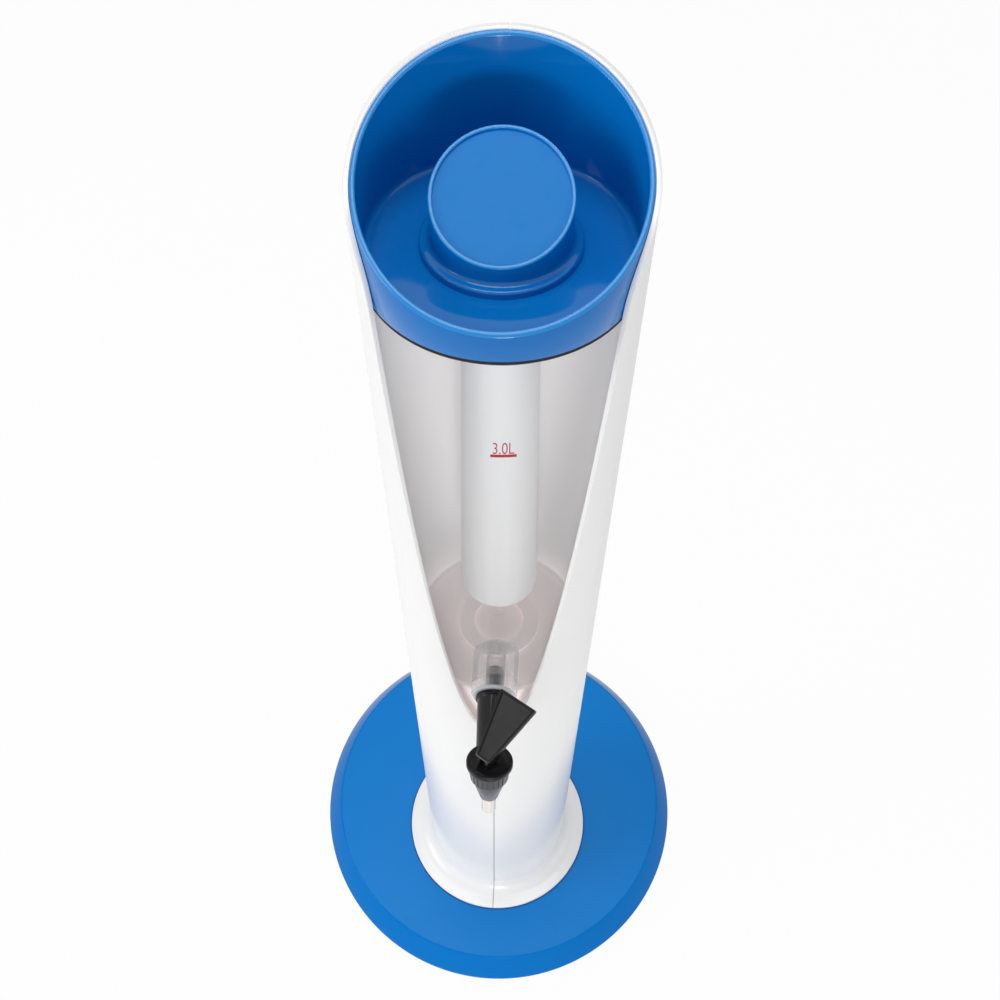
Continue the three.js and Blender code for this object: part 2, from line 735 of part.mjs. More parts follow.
// Paddle widening towards its tip, with a raised rim on its front face
function paddle() {
  const back = leverThickness - leverStandoff;
  const halfWidth = (z) => {
    const share = (z + leverTail) / leverLength;
    return (leverRootWidth + (leverTipWidth - leverRootWidth) * share) / 2;
  };
  const trapezoid = (inset, low, high) => {
    const [lowHalf, highHalf] = [halfWidth(low) - inset, halfWidth(high) - inset];
    return new THREE.Shape([
      new THREE.Vector2(-lowHalf, low), new THREE.Vector2(lowHalf, low),
      new THREE.Vector2(highHalf, high), new THREE.Vector2(-highHalf, high),
    ]);
  };
  const slab = (shape, depth, y) => {
    const geometry = new THREE.ExtrudeGeometry(shape, { depth, bevelEnabled: false });
    return solid(geometry.rotateX(Math.PI / 2).translate(0, y, 0));
  };
  const tipZ = leverLength - leverTail;
  const plate = slab(trapezoid(0, -leverTail, tipZ), leverThickness, back);
  const sunk = slab(trapezoid(leverRimWidth, leverRimWidth - leverTail, tipZ - leverRimWidth),
    leverRimDepth + overrun, leverRimDepth - leverStandoff);
  return plate.subtract(sunk);
}

function tapLever() {
  const inner = stemEyeThickness / 2 + gap;
  let body = paddle();
  for (const side of [-1, 1]) {
    const cheek = sideSlab(cheekOutline(), cheekThickness);
    cheek.translate(side * (inner + cheekThickness / 2), 0, 0);
    body = body.add(solid(cheek));
  }
  const drill = new THREE.CylinderGeometry(
    pinRadius + gap, pinRadius + gap, 2 * leverRootWidth, facets.screw).rotateZ(Math.PI / 2);
  return named('tap_lever', geometryOf(body.subtract(solid(drill))), black);
}

// Base
const tower = new THREE.Group();
const object = new THREE.Group();
object.add(baseDisc(), baseCover());
around(footCount, footCircle).forEach(([x, y], i) => object.add(foot(`foot_${i + 1}`, x, y)));
postPlaces().forEach(([x, y], i) =>
  object.add(screw(`cover_screw_${i + 1}`, x, y, coverBottomZ, coverTopZ + screwBite)));
shellScrewPlaces().forEach(([x, y], i) =>
  object.add(screw(`shell_screw_${i + 1}`, x, y, underTopZ, baseTopZ + screwBite)));
columnScrewPlaces().forEach(([x, y], i) =>
  object.add(screw(`column_screw_${i + 1}`, x, y, underTopZ, baseTopZ + screwBite)));

// Tower
tower.position.set(0, -towerForward, 0);
tower.add(...shellHalves(), supportColumn(), seatPad(), reservoir());
tower.add(lid(), lidCollar(), lidGasket(), iceSocket(), iceTube(), iceTubeSeal());
tower.add(knob(), knobBase(), knobSeal());
tower.add(tapWasher(), tapBody());
object.add(tower);

// Outlet, and the lever on its pin
const outlet = new THREE.Group();
outlet.position.set(0, -outletReach, tapZ);
outlet.rotation.x = -outletTilt;
outlet.add(tapBonnet(), outletCone(), nozzle(), seatCup());
const swivel = new THREE.Group();
swivel.rotation.z = -leverSwivel;
const leverGroup = new THREE.Group();
leverGroup.position.set(0, 0, bonnetTop + pinHeight);
leverGroup.rotation.x = -leverLean;
leverGroup.add(tapLever(), leverPin());
swivel.add(valveStem(), leverGroup);
outlet.add(swivel);
tower.add(outlet);

export default object;
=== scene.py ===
import math

import bmesh
import bpy
from mathutils import Matrix, Vector


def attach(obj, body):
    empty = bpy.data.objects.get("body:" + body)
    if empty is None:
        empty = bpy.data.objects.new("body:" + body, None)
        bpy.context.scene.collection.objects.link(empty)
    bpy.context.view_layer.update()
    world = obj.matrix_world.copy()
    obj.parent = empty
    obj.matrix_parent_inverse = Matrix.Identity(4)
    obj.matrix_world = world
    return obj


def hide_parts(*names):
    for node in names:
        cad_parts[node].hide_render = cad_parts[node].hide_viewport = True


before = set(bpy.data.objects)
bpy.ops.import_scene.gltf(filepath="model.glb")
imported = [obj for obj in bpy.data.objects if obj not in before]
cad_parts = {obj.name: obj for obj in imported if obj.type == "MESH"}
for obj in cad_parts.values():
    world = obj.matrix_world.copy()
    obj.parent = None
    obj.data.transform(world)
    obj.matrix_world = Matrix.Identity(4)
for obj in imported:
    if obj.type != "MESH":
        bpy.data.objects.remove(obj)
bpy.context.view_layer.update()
print("frame loaded")

# Sizes are in millimetres here and become metres where a mesh is made.
# The tower's pieces are drawn round the tower's own axis, which stands in front of the disc's centre.
tower = {"forward": 33.2, "tapHeight": 473.5, "outletReach": 125.6, "outletTilt": 19,
         "pinHeight": 21.8, "leverSwivel": 39, "leverLean": 50}

towerPlace = Matrix.Translation((0, -tower["forward"] / 1000, 0))
shankPlace = (Matrix.Translation((0, -tower["forward"] / 1000, tower["tapHeight"] / 1000))
              @ Matrix.Rotation(math.radians(90), 4, "X"))
outletPlace = (Matrix.Translation((0, -(tower["forward"] + tower["outletReach"]) / 1000,
                                   tower["tapHeight"] / 1000))
               @ Matrix.Rotation(math.radians(-tower["outletTilt"]), 4, "X"))
leverPlace = (outletPlace @ Matrix.Rotation(math.radians(-tower["leverSwivel"]), 4, "Z")
              @ Matrix.Translation((0, 0, tower["pinHeight"] / 1000))
              @ Matrix.Rotation(math.radians(-tower["leverLean"]), 4, "X"))


# Materials.
class Wire:
    # one output of a node, so that shader maths reads as plain Python

    def __init__(self, finish, socket):
        self.finish, self.socket = finish, socket

    def __radd__(self, other):
        return self.finish.maths("ADD", self, other)

    def __sub__(self, other):
        return self.finish.maths("SUBTRACT", self, other)

    def __mul__(self, other):
        return self.finish.maths("MULTIPLY", self, other)


class Finish:
    # a material: fixed values go on the surface's own sockets, everything else is wired in

    def __init__(self, name, fixed):
        # the frame comes with a steel and a silicone of its own, which are used here
        made = bpy.data.materials.get(name) or bpy.data.materials.new(name)
        made.use_nodes = True
        self.material, self.tree = made, made.node_tree
        self.surface = self.tree.nodes["Principled BSDF"]
        for socket, value in fixed.items():
            self.surface.inputs[socket].default_value = value

    def node(self, kind, settings, inputs):
        made = self.tree.nodes.new("ShaderNode" + kind)
        for key, value in settings.items():
            setattr(made, key, value)
        for key, value in inputs.items():
            if isinstance(value, Wire):
                self.tree.links.new(value.socket, made.inputs[key])
            else:
                made.inputs[key].default_value = value
        return made

    def wire(self, made, output=0):
        return Wire(self, made.outputs[output])

    def maths(self, operation, *values):
        return self.wire(self.node("Math", {"operation": operation}, dict(enumerate(values))))

    def place(self):
        return self.wire(self.node("TexCoord", {}, {}), "Object")

    def noise(self, size, detail=2.0):
        # size is the width of one blotch in millimetres
        made = self.node("TexNoise", {}, {"Vector": self.place(), "Scale": 1000 / size, "Detail": detail})
        return self.wire(made, "Fac")

    def between(self, amount, low, high):
        made = self.node("Mix", {"data_type": "RGBA"}, {0: amount, 6: low, 7: high})
        return self.wire(made, 2)

    def feed(self, socket, value):
        self.tree.links.new(value.socket, self.surface.inputs[socket])

    def bump(self, height, strength, depth):
        made = self.node("Bump", {}, {"Strength": strength, "Distance": depth / 1000, "Height": height})
        self.feed("Normal", self.wire(made))


# Blotch widths are in millimetres; middle is the noise's mean value.
surfaces = {"specular": 0.4, "drift": 38, "gloss": 6, "glossSpread": 0.5, "middle": 0.5,
            "clearSpecular": 0.6, "clearDrift": 60, "clearShade": 0.97, "clearGloss": 9, "clearIndex": 1.49}


def moulded(name, colour, rough, mottle=0.04, grain=1.6, relief=0.02, grainDepth=0.02, extra=None):
    # moulded plastic: a faint drift of colour, uneven gloss and a fine skin
    u = surfaces
    finish = Finish(name, {"Specular IOR Level": u["specular"], **(extra or {})})
    drift = finish.noise(u["drift"], 3)
    dark = [c * (1 - mottle) for c in colour] + [1]
    light = [min(1, c * (1 + mottle)) for c in colour] + [1]
    finish.feed("Base Color", finish.between(drift, dark, light))
    finish.feed("Roughness", rough + (finish.noise(u["gloss"], 4) - u["middle"]) * (rough * u["glossSpread"]))
    finish.bump(finish.noise(grain, 3), relief, grainDepth)
    return finish


def plastic(name, colour, rough, **skin):
    return moulded(name, colour, rough, **skin).material


def paintedGlowPlastic(name, colour, rough, glow, strength, start, reach):
    # a painted glow on a thin wall: it emits light, fading out towards the front, standing in for daylight
    # that comes through at the back; start and reach in mm
    finish = moulded(name, colour, rough, mottle=0.006, relief=0.012,
                     extra={"Emission Strength": strength})
    depth = finish.wire(finish.node("SeparateXYZ", {}, {"Vector": finish.place()}), 1)
    amount = (depth - start / 1000) * (1000 / reach)
    finish.feed("Emission Color", finish.between(amount, (0, 0, 0, 1), [*glow, 1]))
    return finish.material


def clearPlastic(name, colour, rough, clarity):
    # thick clear pieces: light bends in them
    u = surfaces
    finish = Finish(name, {"Base Color": [*colour, 1], "Transmission Weight": clarity,
                           "IOR": u["clearIndex"]})
    finish.feed("Roughness", rough + finish.noise(u["clearGloss"], 3) * rough)
    return finish.material


def clearSheet(name, colour, solidity, edge, rough, spread=0.25):
    # thin clear walls: light passes straight through, and less of it where the wall is seen edge on, where
    # the pale colour shows more as a painted sheen standing in for reflected light
    u = surfaces
    finish = Finish(name, {"Specular IOR Level": u["clearSpecular"]})
    facing = finish.wire(finish.node("LayerWeight", {}, {"Blend": spread}), "Facing")
    finish.feed("Alpha", solidity + facing * edge)
    drift = finish.noise(u["clearDrift"], 2)
    shaded = [c * u["clearShade"] for c in colour] + [1]
    finish.feed("Base Color", finish.between(drift, shaded, [*colour, 1]))
    finish.feed("Roughness", rough + finish.noise(u["clearGloss"], 3) * rough)
    return finish.material


finishes = {
    "blueGloss": plastic("blueGloss", (0.001, 0.16, 0.52), 0.07, mottle=0.02, relief=0.01,
                         extra={"Specular IOR Level": 0.3}),
    "blueSide": plastic("blueSide", (0.001, 0.17, 0.55), 0.1, mottle=0.02, relief=0.01,
                        extra={"Specular IOR Level": 0.05}),
    # a lighter blue for the rims, a painted highlight on their rounded edges
    "blueRimPaintedHighlight": plastic("blueRimPaintedHighlight", (0.01, 0.24, 0.64), 0.12, mottle=0.02, relief=0.01,
                        extra={"Specular IOR Level": 0.3}),
    "blueGrained": plastic("blueGrained", (0.006, 0.2, 0.6), 0.36, mottle=0.02, grain=0.55, relief=0.3,
                           grainDepth=0.05, extra={"Specular IOR Level": 0.1}),
    "whiteGloss": plastic("whiteGloss", (0.88, 0.88, 0.88), 0.22, mottle=0.006, relief=0.012),
    # the casing's inner face gets a painted glow, standing in for daylight that comes through the thin white
    # casing
    "casingInsidePaintedGlow": paintedGlowPlastic("casingInsidePaintedGlow", (0.9, 0.89, 0.89), 0.3, (1, 0.975, 0.985), 0.22,
                                   start=-62, reach=45),
    "greyPlastic": plastic("greyPlastic", (0.2, 0.2, 0.205), 0.45),
    "clearWall": clearSheet("clearWall", (0.95, 0.94, 0.945), 0.018, 0.16, 0.04),
    # a clear finish that turns nearly opaque pale white where seen edge on, a painted highlight on the boss's
    # sides, the nub and the rim band
    "clearPaintedEdgeHighlight": clearSheet("clearPaintedEdgeHighlight", (0.97, 0.96, 1.0), 0.02, 0.8, 0.05, 0.55),
    "clearTube": clearPlastic("clearTube", (0.86, 0.83, 0.8), 0.12, clarity=0.55),
    "smokyCone": clearPlastic("smokyCone", (0.2, 0.21, 0.26), 0.12, clarity=0.8),
    "frosted": plastic("frosted", (0.9, 0.905, 0.915), 0.38, mottle=0.01, relief=0.05),
    # the column's stone-coloured plastic also emits a faint warm light, a painted glow standing in for light
    # that reaches it inside the casing
    "stone": plastic("stone", (0.93, 0.85, 0.83), 0.6, mottle=0.03, relief=0.06,
                     extra={"Emission Color": (1, 0.86, 0.84, 1), "Emission Strength": 0.2}),
    "blackGloss": plastic("blackGloss", (0.008, 0.008, 0.009), 0.12, relief=0.03,
                          extra={"Specular IOR Level": 0.26}),
    "blackSmoke": plastic("blackSmoke", (0.05, 0.05, 0.058), 0.12, relief=0.03),
    "blackSatin": plastic("blackSatin", (0.006, 0.006, 0.007), 0.34, grain=0.7, relief=0.2, grainDepth=0.03),
    "rubber": plastic("rubber", (0.014, 0.014, 0.015), 0.7, grain=0.8, relief=0.2, grainDepth=0.04,
                      extra={"Specular IOR Level": 0.25}),
    "silicone": plastic("silicone", (0.84, 0.84, 0.88), 0.2,
                        extra={"Transmission Weight": 0.35, "IOR": 1.41}),
    "steel": plastic("steel", (0.6, 0.6, 0.61), 0.28, grain=0.4, relief=0.1, extra={"Metallic": 1.0}),
    "redInk": plastic("redInk", (0.45, 0.004, 0.01), 0.35),
}
print("finishes made")


# Helpers that shape meshes. How near a point has to be, in metres, to count as the same place.
near = {"merge": 2e-6, "ring": 3e-5, "cut": 1e-6, "plane": 2e-5}


def ringShape(profile, turns=192, closed=True):
    # [radius, height] points turned round the Z axis; an open profile may start and end on the axis
    bm = bmesh.new()
    verts = [bm.verts.new((r / 1000, 0, z / 1000)) for r, z in profile]
    ends = verts[1:] + verts[:1] if closed else verts[1:]
    edges = [bm.edges.new(pair) for pair in zip(verts, ends)]
    bmesh.ops.spin(bm, geom=verts + edges, axis=(0, 0, 1), cent=(0, 0, 0), angle=2 * math.pi,
                   steps=turns, use_merge=True)
    bmesh.ops.remove_doubles(bm, verts=bm.verts, dist=near["merge"])
    bmesh.ops.recalc_face_normals(bm, faces=bm.faces)
    return bm


def roundRings(bm, rings, size, steps=3):
    # eases the round edges that pass through the given [radius, height] places
    def on(vert, r, z):
        return max(abs(vert.co.z - z / 1000), abs(vert.co.xy.length - r / 1000)) < near["ring"]

    chosen = [e for e in bm.edges for r, z in rings if all(on(v, r, z) for v in e.verts)]
    roundEdges(bm, chosen, size, steps)


def roundEdges(bm, edges, size, steps=3):
    bmesh.ops.bevel(bm, geom=edges, offset=size / 1000, offset_type="OFFSET", segments=steps,
                    profile=0.5, affect="EDGES", material=-1, clamp_overlap=True)


def cutOff(bm, point, away):
    # removes everything on the side of the plane that away points to
    bmesh.ops.bisect_plane(bm, geom=bm.verts[:] + bm.edges[:] + bm.faces[:], dist=near["cut"],
                           plane_co=[c / 1000 for c in point], plane_no=away, clear_outer=True)


def onPlane(bm, point, away):
    # the edges that lie in a plane
    co, no = Vector(point) / 1000, Vector(away).normalized()
    return [e for e in bm.edges if all(abs((v.co - co).dot(no)) < near["plane"] for v in e.verts)]


def extrudeBy(bm, faces, step):
    # grows faces by a step and gives the new ones
    grown = bmesh.ops.extrude_face_region(bm, geom=faces)["geom"]
    bmesh.ops.translate(bm, verts=[g for g in grown if isinstance(g, bmesh.types.BMVert)],
                        vec=Vector(step) / 1000)
    return [g for g in grown if isinstance(g, bmesh.types.BMFace)]


def objectFrom(bm, name):
    mesh = bpy.data.meshes.new(name)
    bm.to_mesh(mesh)
    bm.free()
    made = bpy.data.objects.new(name, mesh)
    bpy.context.scene.collection.objects.link(made)
    return made


def combine(bm, other, operation):
    # joins or cuts one shape with another and gives the result as a new shape
    body, tool = objectFrom(bm, "bodyShape"), objectFrom(other, "toolShape")
    step = body.modifiers.new("combine", "BOOLEAN")
    step.operation, step.solver, step.object = operation, "EXACT", tool
    bpy.context.view_layer.update()
    mesh = bpy.data.meshes.new_from_object(body.evaluated_get(bpy.context.evaluated_depsgraph_get()))
    result = bmesh.new()
    result.from_mesh(mesh)
    for spare in (body, tool):
        bpy.data.objects.remove(spare)
    bpy.data.meshes.remove(mesh)
    return result


def finishPiece(bm, name, finish, body, slotName, replaced=(), place=towerPlace, sharp=30):
    bm.transform(place)
    piece = objectFrom(bm, name)
    piece.visible_shadow = "clear" not in slotName
    for one in finish if isinstance(finish, list) else [finish]:
        piece.data.materials.append(finishes[one])
    piece.data.shade_smooth()
    piece.data.set_sharp_from_angle(angle=math.radians(sharp))
    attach(piece, body)
    if replaced:
        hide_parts(*replaced)
    return piece


def paintFaces(bm, index, wanted):
    for face in bm.faces:
        if wanted(face):
            face.material_index = index


# The camera stands where the photograph was taken.
camera = {"azimuth": 2.5, "pitch": 53.94, "roll": 0.4265, "place": (16.49, -407.37, 1122.86),
          "focal": 1033.2, "frameWidth": 1000, "sensor": 36, "clip": (0.01, 50)}


def makeCamera():
    az, pitch, roll = (math.radians(camera[k]) for k in ("azimuth", "pitch", "roll"))
    forward = Vector((-math.sin(az) * math.cos(pitch), math.cos(az) * math.cos(pitch), -math.sin(pitch)))
    level = Vector((math.cos(az), math.sin(az), 0))
    upright = level.cross(forward)
    right = level * math.cos(roll) + upright * math.sin(roll)
    up = upright * math.cos(roll) - level * math.sin(roll)
    data = bpy.data.cameras.new("photoCamera")
    data.sensor_width = camera["sensor"]
    data.lens = camera["focal"] * data.sensor_width / camera["frameWidth"]
    data.clip_start, data.clip_end = camera["clip"]
    eye = bpy.data.objects.new("photoCamera", data)
    eye.matrix_world = Matrix([[*row, p / 1000] for row, p in
                               zip(zip(right, up, -forward), camera["place"])] + [[0, 0, 0, 1]])
    bpy.context.scene.collection.objects.link(eye)
    bpy.context.scene.camera = eye


makeCamera()
print("camera placed")


# The blue dish under everything.
base = {"radius": 186, "topRadius": 171, "top": 27.5, "lip": 5, "bottom": 2, "wall": 3,
        "topRound": 1.5, "lipRound": 0.7, "groove": (90.6, 92.5), "grooveDepth": 1.2, "overcut": 1,
        "turns": 320, "flat": 0.99, "topLayer": 0.1, "sharp": 24}


def makeBase():
    b = base
    bm = ringShape([
        (0, b["top"]), (b["topRadius"], b["top"]), (b["radius"], b["lip"]), (b["radius"], b["bottom"]),
        (b["radius"] - b["wall"], b["bottom"]), (b["radius"] - b["wall"], b["lip"]),
        (b["topRadius"] - b["wall"], b["top"] - b["wall"]), (0, b["top"] - b["wall"]),
    ], turns=b["turns"], closed=False)
    roundRings(bm, [(b["topRadius"], b["top"])], b["topRound"], steps=5)
    roundRings(bm, [(b["radius"], b["lip"]), (b["radius"], b["bottom"])], b["lipRound"])
    low, high = b["top"] - b["grooveDepth"], b["top"] + b["overcut"]
    groove = ringShape([(b["groove"][0], low), (b["groove"][1], low), (b["groove"][1], high),
                        (b["groove"][0], high)], turns=192)
    groove.transform(towerPlace)
    bm = combine(bm, groove, "DIFFERENCE")
    layer = (b["top"] - b["topLayer"]) / 1000
    paintFaces(bm, 1, lambda f: f.normal.z > b["flat"] and f.calc_center_median().z > layer)
    finishPiece(bm, "baseDish", ["blueSide", "blueGrained"], "tower", "blue_plastic",
                ["base_disc"], Matrix.Identity(4), b["sharp"])


makeBase()


# The white casing: two halves with the window cut out.
casing = {"radius": 69, "wall": 2.4, "flange": 91.3, "bottom": 27.5, "flangeTop": 30.5, "flareFoot": 31.1,
          "flare": 14, "flangeRound": 1, "top": 881, "seam": 0.5, "edgeRound": 0.45,
          "rim": 844.7, "rimSlope": 29.9 / 66.3, "tip": 411.4, "lean": 27.3 / 344, "corner": 46,
          "cornerCuts": 15, "turns": 288, "flareSteps": 12, "sharp": 40, "easeAngle": 50}


def windowPlanes():
    # the window's edge, its rounded corner and the slanted rim, each as a point and the side cut away
    c = casing
    cornerY = (c["rim"] - c["tip"] - c["radius"] / c["lean"]) / (1 / c["lean"] - c["rimSlope"])
    corner = Vector((cornerY, c["rim"] + c["rimSlope"] * cornerY))
    down, up = Vector((-c["lean"], -1)).normalized(), Vector((1, c["rimSlope"])).normalized()
    along = c["corner"] / math.tan(down.angle(up) / 2)
    start, end = corner + down * along, corner + up * along
    planes = []
    for i in range(c["cornerCuts"]):
        t = i / (c["cornerCuts"] - 1)
        point = start * (1 - t) ** 2 + corner * 2 * t * (1 - t) + end * t ** 2
        run = (corner - start) * (1 - t) + (end - corner) * t
        planes.append(((0, point.x, point.y), (0, -run.y, run.x)))
    return planes


def makeCasing(name, side, node):
    c = casing
    bm = ringShape([(c["flange"], c["bottom"]), (c["flange"], c["flangeTop"]),
                    (c["radius"], c["flareFoot"]), (c["radius"], c["top"])], turns=c["turns"], closed=False)
    roundRings(bm, [(c["radius"], c["flareFoot"])], c["flare"], c["flareSteps"])
    roundRings(bm, [(c["flange"], c["flangeTop"])], c["flangeRound"])
    if sum(f.normal.dot(Vector((*f.calc_center_median().xy, 0))) for f in bm.faces) < 0:
        bmesh.ops.reverse_faces(bm, faces=bm.faces)
    for point, away in windowPlanes():
        cutOff(bm, point, away)
    cutOff(bm, (side * c["seam"] / 2, 0, 0), (-side, 0, 0))
    piece = finishPiece(bm, name, ["whiteGloss", "casingInsidePaintedGlow"], "tower", "white_plastic", [node],
                        sharp=c["sharp"])
    wall = piece.modifiers.new("wall", "SOLIDIFY")
    wall.thickness, wall.offset, wall.use_even_offset = c["wall"] / 1000, -1, True
    # the solidified inner faces take the second finish, the one with the painted glow
    wall.material_offset = 1
    ease = piece.modifiers.new("ease", "BEVEL")
    ease.width, ease.segments, ease.limit_method = c["edgeRound"] / 1000, 2, "ANGLE"
    ease.angle_limit = math.radians(c["easeAngle"])


makeCasing("casingLeft", -1, "shell_left")
makeCasing("casingRight", 1, "shell_right")


# The column that carries the reservoir.
column = {"foot": 62, "footTop": 36.5, "radius": 50, "coneLow": 384, "ledge": 63, "ledgeLow": 398,
          "ledgeTop": 402, "drum": 57.3, "top": 457.45, "bottom": 27.5, "wall": 3, "round": 1.2}


def makeColumn():
    c = column
    bm = ringShape([
        (c["foot"], c["bottom"]), (c["foot"], c["footTop"]), (c["radius"], c["footTop"]),
        (c["radius"], c["coneLow"]), (c["ledge"], c["ledgeLow"]), (c["ledge"], c["ledgeTop"]),
        (c["drum"], c["ledgeTop"]), (c["drum"], c["top"]), (0, c["top"]), (0, c["top"] - c["wall"]),
        (c["drum"] - c["wall"], c["top"] - c["wall"]), (c["drum"] - c["wall"], c["ledgeLow"]),
        (c["radius"] - c["wall"], c["coneLow"]), (c["radius"] - c["wall"], c["bottom"]),
    ], turns=128)
    roundRings(bm, [(c["drum"], c["top"]), (c["foot"], c["footTop"])], c["round"])
    # above the ledge the column keeps the finish with the painted glow
    paintFaces(bm, 1, lambda f: f.calc_center_median().z < c["ledgeLow"] / 1000)
    finishPiece(bm, "column", ["stone", "greyPlastic"], "tower", "grey_plastic", ["support_column"])


makeColumn()


# The clear drink tube with the boss for the tap.
reservoir = {"skirt": (60.9, 402), "top": (65.2, 797.3), "wall": 3, "floor": 464.3, "under": 460.45,
             "floorRound": 3, "nub": 4.2, "nubHeight": 2.5,
             "boss": 15.75, "bossStart": 31, "bossEnd": 66.1, "bore": 6.6, "bossRound": 3.5,
             "bossEndRound": 0.6, "rimRound": 0.5, "overrun": 5, "bossMargin": 0.2, "nubMargin": 0.1,
             "rimBand": 1}


def reservoirRadius(z):
    (r0, z0), (r1, z1) = reservoir["skirt"], reservoir["top"]
    return r0 + (r1 - r0) * (z - z0) / (z1 - z0)


def makeReservoir():
    r = reservoir
    inside = {z: reservoirRadius(z) - r["wall"]
              for z in (r["floor"], r["under"], r["skirt"][1], r["top"][1])}
    bm = ringShape([
        (0, r["floor"] + r["nubHeight"]), (r["nub"], r["floor"]), (inside[r["floor"]], r["floor"]),
        (inside[r["top"][1]], r["top"][1]), r["top"], r["skirt"], (inside[r["skirt"][1]], r["skirt"][1]),
        (inside[r["under"]], r["under"]), (0, r["under"]),
    ], turns=192, closed=False)
    roundRings(bm, [(inside[r["floor"]], r["floor"])], r["floorRound"], steps=6)
    roundRings(bm, [(inside[r["top"][1]], r["top"][1]), r["top"], r["skirt"]], r["rimRound"], steps=2)
    boss = ringShape([(0, r["bossStart"]), (r["boss"], r["bossStart"]), (r["boss"], r["bossEnd"]),
                      (0, r["bossEnd"])], turns=96, closed=False)
    roundRings(boss, [(r["boss"], r["bossStart"])], r["bossRound"], steps=6)
    roundRings(boss, [(r["boss"], r["bossEnd"])], r["bossEndRound"], steps=2)
    start, end = r["bossStart"] - r["overrun"], r["bossEnd"] + r["overrun"]
    bore = ringShape([(0, start), (r["bore"], start), (r["bore"], end), (0, end)], turns=64, closed=False)
    lying = towerPlace.inverted() @ shankPlace
    boss.transform(lying)
    bore.transform(lying)
    bm = combine(combine(bm, boss, "UNION"), bore, "DIFFERENCE")
    reach, behind = (r["boss"] + r["bossMargin"]) / 1000, (r["bossStart"] - r["bossMargin"]) / 1000
    back = lying.inverted()
    # the boss, the nub and the top rim band take the clear finish with the painted edge highlight
    paintFaces(bm, 1, lambda f: all(p.xy.length < reach and p.z > behind
                                    for p in (back @ v.co for v in f.verts)))
    nub, rim = (r["nub"] + r["nubMargin"]) / 1000, (r["top"][1] - r["rimBand"]) / 1000
    paintFaces(bm, 1, lambda f: all(v.co.xy.length < nub or v.co.z > rim for v in f.verts))
    finishPiece(bm, "clearReservoir", ["clearWall", "clearPaintedEdgeHighlight"], "tower", "clear_plastic", ["reservoir"])


makeReservoir()


# The printed level mark.
mark = {"words": "3.0L", "height": 734.6, "angle": 4.0, "wide": 10.4, "tall": 8.6, "line": (12.8, 2.1),
        "lineDrop": 1.5, "proud": 0.06, "thick": 0.05, "thin": -0.006, "lineSteps": 12}


def makeMark():
    m = mark
    letters = bpy.data.curves.new("levelWords", "FONT")
    letters.body, letters.offset = m["words"], m["thin"]
    spare = bpy.data.objects.new("levelWords", letters)
    bpy.context.scene.collection.objects.link(spare)
    bpy.context.view_layer.update()
    mesh = bpy.data.meshes.new_from_object(spare)
    bpy.data.objects.remove(spare)
    bm = bmesh.new()
    bm.from_mesh(mesh)
    bpy.data.meshes.remove(mesh)
    xs, ys = [v.co.x for v in bm.verts], [v.co.y for v in bm.verts]
    for v in bm.verts:
        v.co.x = ((v.co.x - min(xs)) / (max(xs) - min(xs)) - 0.5) * m["wide"]
        v.co.y = (v.co.y - min(ys)) / (max(ys) - min(ys)) * m["tall"]
    line = bmesh.ops.create_grid(bm, x_segments=m["lineSteps"], y_segments=1, size=0.5)["verts"]
    bmesh.ops.scale(bm, vec=(m["line"][0], m["line"][1], 1), verts=line)
    bmesh.ops.translate(bm, vec=(0, -m["lineDrop"], 0), verts=line)
    for v in bm.verts:
        z = m["height"] + v.co.y
        radius = reservoirRadius(z) + m["proud"]
        turn = math.radians(m["angle"]) + v.co.x / radius
        v.co = Vector((radius * math.sin(turn), -radius * math.cos(turn), z)) / 1000
    bmesh.ops.solidify(bm, geom=bm.faces[:], thickness=m["thick"] / 1000)
    finishPiece(bm, "levelMark", "redInk", "tower", "clear_plastic")


makeMark()


# The lid and the rings under it.
lid = {"radius": 66.3, "wall": 2.6, "bottom": 799.5, "floor": 809.3, "under": 806.7, "floorRound": 3.5,
       "ledge": 61.9, "mouth": 17.2, "rimRound": 0.9,
       "blank": 885, "edgeRound": 0.5, "crease": 0.3}


def makeLid():
    d, c = lid, casing
    inner = d["radius"] - d["wall"]
    bm = ringShape([
        (d["mouth"], d["under"]), (d["ledge"], d["under"]), (d["ledge"], d["bottom"]),
        (d["radius"], d["bottom"]), (d["radius"], d["blank"]), (inner, d["blank"]), (inner, d["floor"]),
        (d["mouth"], d["floor"]),
    ], turns=256)
    roundRings(bm, [(inner, d["floor"])], d["floorRound"], steps=8)
    roundRings(bm, [(d["mouth"], d["floor"]), (d["radius"], d["bottom"])], d["edgeRound"], steps=2)
    point, away = (0, 0, c["rim"]), (0, -c["rimSlope"], 1)
    cutOff(bm, point, away)
    rim = [e for e in onPlane(bm, point, away) if e.is_boundary]
    bmesh.ops.bridge_loops(bm, edges=rim)
    bmesh.ops.recalc_face_normals(bm, faces=bm.faces)
    roundEdges(bm, [e for e in onPlane(bm, point, away) if len(e.link_faces) == 2
                    and e.calc_face_angle(0) > d["crease"]], d["rimRound"], steps=4)
    up, rim = Vector(away).normalized(), Vector(point) / 1000
    # the faces of the rounded rim get the lighter blue of the painted highlight
    paintFaces(bm, 1, lambda f: abs((f.calc_center_median() - rim).dot(up)) < d["rimRound"] / 1000)
    finishPiece(bm, "lidCup", ["blueGloss", "blueRimPaintedHighlight"], "lid", "blue_plastic", ["lid"])


makeLid()

collar = {"inner": 59.2, "outer": 61.6, "low": 792.5, "high": 806.4}
socket = {"inner": 19.5, "outer": 21.9, "low": 793.4, "high": 806.4}


